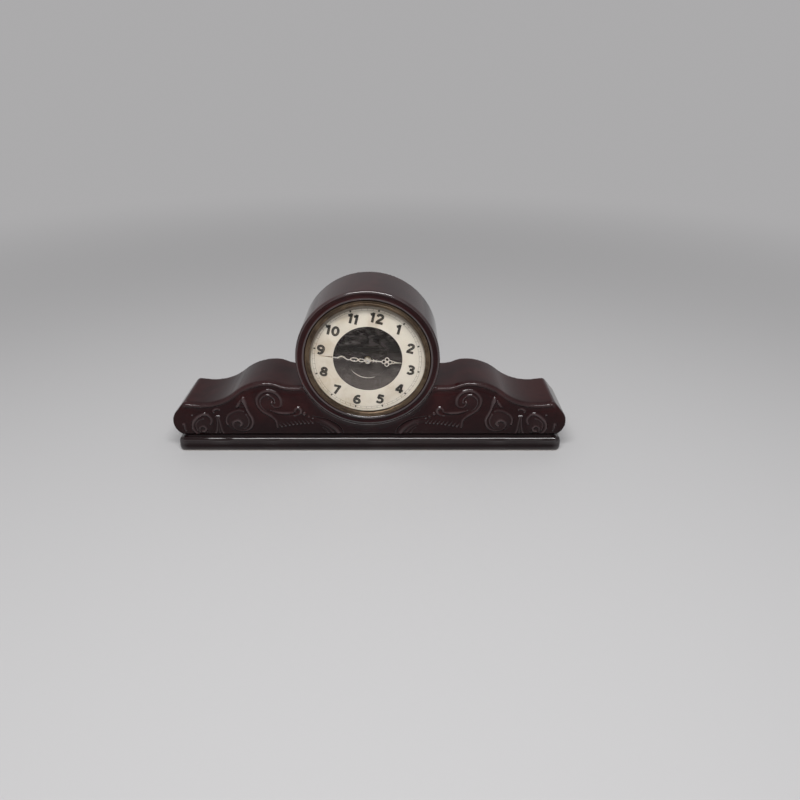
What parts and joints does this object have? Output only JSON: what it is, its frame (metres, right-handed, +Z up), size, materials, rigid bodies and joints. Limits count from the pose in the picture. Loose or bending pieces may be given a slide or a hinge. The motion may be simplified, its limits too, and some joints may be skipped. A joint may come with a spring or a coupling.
{
  "type": "mantel clock",
  "caption": "Tambour mantel clock: glazed ceramic case with a round drum and low scrolled wings, cream dial under domed glass, spring movement wound and set from behind.",
  "frame": {"origin": "under the middle of the clock, on the surface that it stands on", "axes": "+Z up, +X to the right as seen from the front, the dial faces -Y"},
  "size_m": [0.4, 0.0734, 0.1715],
  "materials": {
    "glaze": "glossy dark brown glaze",
    "bezel_brass": "tarnished brass",
    "glass": "clear domed glass",
    "dial_dark": "dark brushed centre",
    "dial_cream": "aged cream paint",
    "hand_brass": "pale polished brass",
    "tin": "tinned steel",
    "steel": "polished steel",
    "blue_steel": "tempered spring steel",
    "movement_brass": "brushed brass",
    "knob_brass": "worn brass"
  },
  "bodies": {
    "case": {"ceramic_case": "glaze", "bezel_ring": "bezel_brass", "dial_glass": "glass", "sight_ring": "bezel_brass", "dial_plate": "dial_dark", "chapter_ring": "dial_cream", "dial_feet": "movement_brass", "movement_can": "tin", "rear_clamp_ring": "tin", "clamp_screws": "steel", "front_plate": "movement_brass", "back_plate": "movement_brass", "plate_pillars": "steel", "can_spacers": "movement_brass", "can_screws": "steel", "mainspring": "blue_steel", "hairspring": "blue_steel", "hairspring_stud": "movement_brass", "balance_pivot_screws": "steel", "minute_stud": "steel"},
    "hand_arbor": {"centre_arbor": "steel", "friction_washer": "movement_brass", "cannon_pinion": "steel", "minute_hand": "hand_brass", "hand_nut": "hand_brass", "setting_knob": "knob_brass"},
    "minute_work": {"minute_wheel": "movement_brass", "minute_pinion": "steel"},
    "hour_work": {"hour_wheel": "movement_brass", "hour_hand": "hand_brass"},
    "great_work": {"great_wheel": "movement_brass", "click_screw": "steel", "click_spring": "blue_steel"},
    "winding_work": {"winding_arbor": "steel", "ratchet_wheel": "steel", "winding_key": "knob_brass"},
    "click_work": {"click": "steel"},
    "centre_work": {"centre_pinion": "steel", "centre_wheel": "movement_brass"},
    "third_work": {"third_pinion": "steel", "third_wheel": "movement_brass"},
    "fourth_work": {"fourth_pinion": "steel", "fourth_wheel": "movement_brass"},
    "escape_work": {"escape_pinion": "steel", "escape_wheel": "movement_brass"},
    "lever_work": {"pallet_lever": "movement_brass", "pallet_pins": "steel"},
    "balance_work": {"balance_wheel": "movement_brass", "balance_staff": "steel"},
    "regulator_work": {"regulator": "steel"}
  },
  "joints": [
    {"name": "hand_setting", "type": "hinge", "parent": "case", "child": "hand_arbor", "pos_m": [0, 0, 0.102], "axis": [0, 1, 0], "continuous": true},
    {"name": "minute_wheel_turn", "type": "hinge", "parent": "case", "child": "minute_work", "pos_m": [0.00146, 0, 0.0901], "axis": [0, 1, 0], "continuous": true},
    {"name": "hour_wheel_turn", "type": "hinge", "parent": "case", "child": "hour_work", "pos_m": [0, 0, 0.102], "axis": [0, 1, 0], "continuous": true},
    {"name": "fourth_wheel_turn", "type": "hinge", "parent": "case", "child": "fourth_work", "pos_m": [0.01444, 0, 0.11746], "axis": [0, 1, 0], "continuous": true},
    {"name": "third_wheel_turn", "type": "hinge", "parent": "case", "child": "third_work", "pos_m": [0.01609, 0, 0.10398], "axis": [0, 1, 0], "continuous": true},
    {"name": "centre_wheel_turn", "type": "hinge", "parent": "case", "child": "centre_work", "pos_m": [0, 0, 0.102], "axis": [0, 1, 0], "continuous": true},
    {"name": "great_wheel_turn", "type": "hinge", "parent": "case", "child": "great_work", "pos_m": [-0.01948, 0, 0.09413], "axis": [0, 1, 0], "continuous": true},
    {"name": "escape_wheel_turn", "type": "hinge", "parent": "case", "child": "escape_work", "pos_m": [0.00387, 0, 0.12432], "axis": [0, 1, 0], "continuous": true},
    {"name": "winding", "type": "hinge", "parent": "great_work", "child": "winding_work", "pos_m": [-0.01948, 0, 0.09413], "axis": [0, 1, 0], "continuous": true},
    {"name": "click_lift", "type": "hinge", "parent": "great_work", "child": "click_work", "pos_m": [-0.01892, 0, 0.10472], "axis": [0, -1, 0], "range_deg": [0, 12], "stiffness_Nm_per_rad": 0.0001, "springref_deg": -5.73},
    {"name": "balance_swing", "type": "hinge", "parent": "case", "child": "balance_work", "pos_m": [-0.02199, 0, 0.12307], "axis": [0, 1, 0], "range_deg": [-200, 200], "stiffness_Nm_per_rad": 0.00002},
    {"name": "lever_rock", "type": "hinge", "parent": "case", "child": "lever_work", "pos_m": [-0.00711, 0, 0.12489], "axis": [0, 1, 0], "range_deg": [-6.1, 6.1]},
    {"name": "regulator_shift", "type": "hinge", "parent": "case", "child": "regulator_work", "pos_m": [-0.02199, 0, 0.12307], "axis": [0, 1, 0], "range_deg": [-25, 25]}
  ],
  "couplings": [
    {"joint": "minute_wheel_turn", "follows": "hand_setting", "ratio": -0.33333},
    {"joint": "hour_wheel_turn", "follows": "hand_setting", "ratio": 0.083333},
    {"joint": "third_wheel_turn", "follows": "fourth_wheel_turn", "ratio": -0.13333},
    {"joint": "centre_wheel_turn", "follows": "fourth_wheel_turn", "ratio": 0.016667},
    {"joint": "great_wheel_turn", "follows": "fourth_wheel_turn", "ratio": -0.0027778},
    {"joint": "escape_wheel_turn", "follows": "fourth_wheel_turn", "ratio": -8},
    {"joint": "lever_rock", "follows": "balance_swing", "ratio": -0.03}
  ]
}
